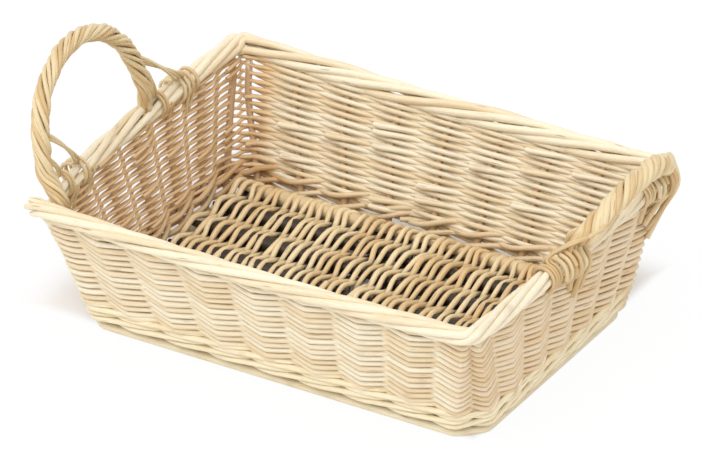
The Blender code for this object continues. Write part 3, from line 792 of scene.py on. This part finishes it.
# Foot, bays past its stake, how far up the rope it leaves, turns and slack of each wound rod
LEFT_WINDINGS = ((0, 1.10, 0.30, 1.75, 0.0008), (0, 1.22, 0.26, 1.8, 0.0004),
                 (1, 1.22, 0.30, 1.75, 0.0012), (1, 1.34, 0.26, 1.75, 0.0004),
                 (1, 1.45, 0.22, 2.2, 0))
RIGHT_WINDINGS = ((0, 0.42, 0.15, 1.3, 0.002), (0, 0.22, 0.15, 1.2, 0.003),
                  (1, 0.40, 0.15, 1.3, 0.002), (1, 0.16, 0.15, 1.2, 0.003))
# Foot, bays past its stake, length and bulge of each hanging end
RIGHT_ENDS = ((0, -0.25, 0.040, 0.011), (0, -0.08, 0.046, 0.009), (0, 0.10, 0.036, 0.012),
              (0, 0.28, 0.030, 0.009), (1, -0.20, 0.034, 0.010), (1, -0.06, 0.028, 0.009),
              (1, 0.08, 0.036, 0.011), (1, 0.24, 0.026, 0.009))
# Bays past the foot's stake of the two rods of a tie, how far up the rope they leave, turns
TIE_BAYS, TIE_SECOND, TIE_LIFT, TIE_LIFT_MORE, TIE_TURNS = 0.62, 0.08, 0.1, 0.06, (1.7, 1.75)
left_arch = Arch(stations=(9, 12), past=(0.009, 0.021), rise=0.0971, lean=math.radians(15),
                 inset=0.0065, sunk=(False, True), turns=4.2, power=0.72, turned=False)
right_arch = Arch(stations=(25, 28), past=(0.009, 0.006), rise=0.047, lean=math.radians(27),
                  inset=-0.002, sunk=(True, True), turns=3.4, power=1.15, turned=True)
bow_finish = willow("bow_willow", pale=(0.74, 0.58, 0.34), warm=(0.62, 0.43, 0.21),
                    deep=(0.30, 0.16, 0.06))
strand_finish = willow("strand_willow", pale=(0.76, 0.62, 0.38), warm=(0.62, 0.43, 0.21),
                       deep=(0.30, 0.16, 0.06))
tie_finish = willow("tie_willow", pale=(0.74, 0.58, 0.34), warm=(0.60, 0.41, 0.20),
                    deep=(0.30, 0.16, 0.06))
for arch, side, labels, windings, ends in (
        (left_arch, "left", ("front", "rear"), LEFT_WINDINGS, ()),
        (right_arch, "right", ("rear", "front"), RIGHT_WINDINGS, RIGHT_ENDS)):
    rods(f"{side}_handle_core", [(handle_core(arch), CORE_RADIUS, 0.5)], 12, bow_finish,
         [f"{side}_handle_bow"], seed=4 + arch.turned)
    laid = rope(arch)
    for winding in windings:
        radius = STRAND_RADIUS if arch.turned else TIE_RADIUS
        laid.append((tie(arch, *winding), radius * chance.uniform(0.9, 1.05),
                     chance.uniform(0, 1)))
    for end in ends:
        laid.append((hanging(arch, *end), STRAND_RADIUS * chance.uniform(1.1, 1.4),
                     chance.uniform(0, 1)))
    rods(f"{side}_handle_rope", laid, 9, strand_finish,
         [f"{side}_handle_strand_{number}" for number in range(1, 5)], wobble=0.0006,
         seed=6 + arch.turned)
    for foot, (label, turns) in enumerate(zip(labels, TIE_TURNS)):
        wound = []
        for bays in (TIE_BAYS, TIE_BAYS + TIE_SECOND):
            line = tie(arch, foot, bays, TIE_LIFT + TIE_LIFT_MORE * foot, turns)
            wound.append((line, TIE_RADIUS * chance.uniform(0.85, 1.05), chance.uniform(0.2, 0.9)))
        rods(f"{side}_handle_tie_{label}_dressed", wound, 8, tie_finish,
             [f"{side}_handle_tie_{label}"], wobble=0.0002, seed=8 + arch.turned)

# Floor and light. A wide white floor keeps a soft shadow and glows white further out. A lamp
# stands at the front left and a stronger, broader one higher at the front right, and a white
# world lights the rest and shows in what shines.
GROUND_HALF, GROUND_WHITE, GROUND_ROUGHNESS, GLOW_SHARE = 4, 0.9, 0.9, 0.95
# Between these distances from the middle the floor passes from its shadow to its glow
SHADOW_RIGHT, SHADOW_LEFT = (0.160, 0.172), (0.20, 0.24)
SHADOW_FRONT, SHADOW_BACK = (0.098, 0.111), (0.15, 0.19)
ground = bpy.data.objects.new("ground", bpy.data.meshes.new("ground"))
ground.data.from_pydata([(x * GROUND_HALF, y * GROUND_HALF, 0)
                         for x, y in ((-1, -1), (1, -1), (1, 1), (-1, 1))], [], [(0, 1, 2, 3)])
bpy.context.scene.collection.objects.link(ground)
white = bpy.data.materials.new("white_floor")
white.use_nodes = True
tree = white.node_tree
start = Plug(tree)
shader = tree.nodes["Principled BSDF"]
shader.inputs["Base Color"].default_value = (GROUND_WHITE, GROUND_WHITE, GROUND_WHITE, 1)
shader.inputs["Roughness"].default_value = GROUND_ROUGHNESS
glow = start.add("ShaderNodeEmission", None, {"Color": (1, 1, 1, 1), "Strength": 1.0})
seen = start.add("ShaderNodeLightPath", output="Is Camera Ray")
x, y, _ = start.add("ShaderNodeTexCoord", output="Object").parts()
sideways = start.maths("MAXIMUM", x.ramp(*SHADOW_RIGHT), (0 - x).ramp(*SHADOW_LEFT))
forwards = start.maths("MAXIMUM", (0 - y).ramp(*SHADOW_FRONT), y.ramp(*SHADOW_BACK))
beyond = start.maths("MAXIMUM", sideways, forwards)
mix = start.add("ShaderNodeMixShader", None, {
    0: seen * beyond * GLOW_SHARE, 1: Plug(tree, shader.outputs[0]), 2: glow})
tree.links.new(mix.socket, tree.nodes["Material Output"].inputs["Surface"])
ground.data.materials.append(white)

# The world lights the basket with less than the full white that is seen of it directly
WORLD_LIGHT, WORLD_SEEN_MORE = 0.81, 0.19
world = bpy.data.worlds.new("studio")
world.use_nodes = True
bpy.context.scene.world = world
tree = world.node_tree
start = Plug(tree)
camera_ray, glossy_ray, through_ray = (start.add("ShaderNodeLightPath", output=f"Is {kind} Ray")
                                       for kind in ("Camera", "Glossy", "Transmission"))
direct = start.maths("MINIMUM", camera_ray + glossy_ray + through_ray, 1.0)
background = tree.nodes["Background"]
tree.links.new((direct * WORLD_SEEN_MORE + WORLD_LIGHT).socket, background.inputs["Strength"])
background.inputs["Color"].default_value = (1, 1, 1, 1)

# Name, strength, spread in degrees and the way to each lamp
LAMPS = (("front_left_lamp", 0.6, 24, (-0.3, -0.7, 0.9)),
         ("front_right_lamp", 1.1, 50, (0.3, -0.5, 1.2)))
for name, strength, spread, way in LAMPS:
    lamp = bpy.data.objects.new(name, bpy.data.lights.new(name, "SUN"))
    lamp.data.energy = strength
    lamp.data.angle = math.radians(spread)
    lamp.rotation_euler = Vector(way).to_track_quat("Z", "Y").to_euler()
    bpy.context.scene.collection.objects.link(lamp)
bpy.context.scene.view_settings.view_transform = "Standard"
